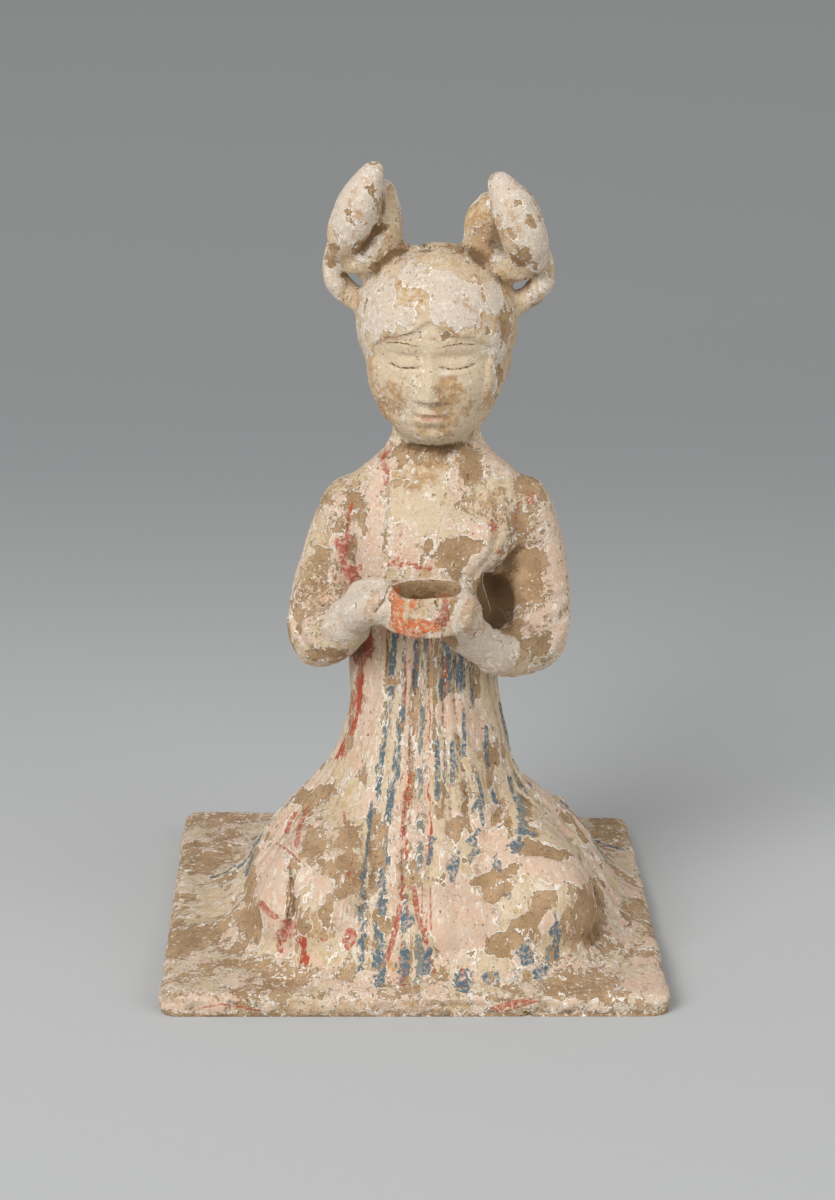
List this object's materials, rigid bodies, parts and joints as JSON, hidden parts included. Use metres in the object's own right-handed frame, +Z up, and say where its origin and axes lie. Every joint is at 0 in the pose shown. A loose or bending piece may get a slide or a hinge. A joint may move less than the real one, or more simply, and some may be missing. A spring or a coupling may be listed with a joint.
{
  "type": "kneeling musician tomb figurine",
  "caption": "Kneeling female musician of painted earthenware on a thin slab, with looped buns and a pleated robe, holding a small empty cup in both hands.",
  "frame": {"origin": "on the underside of the slab, below the slab's middle", "axes": "+Z up along the figure, -Y to the front that the figure faces, +X to the figure's left"},
  "size_m": [0.1223, 0.123, 0.1914],
  "materials": {
    "painted_earthenware": "matt low-fired clay with a flaking cream and pink slip and traces of red, blue and orange paint"
  },
  "bodies": {
    "root": {"musician_figure": "painted_earthenware"}
  },
  "joints": []
}
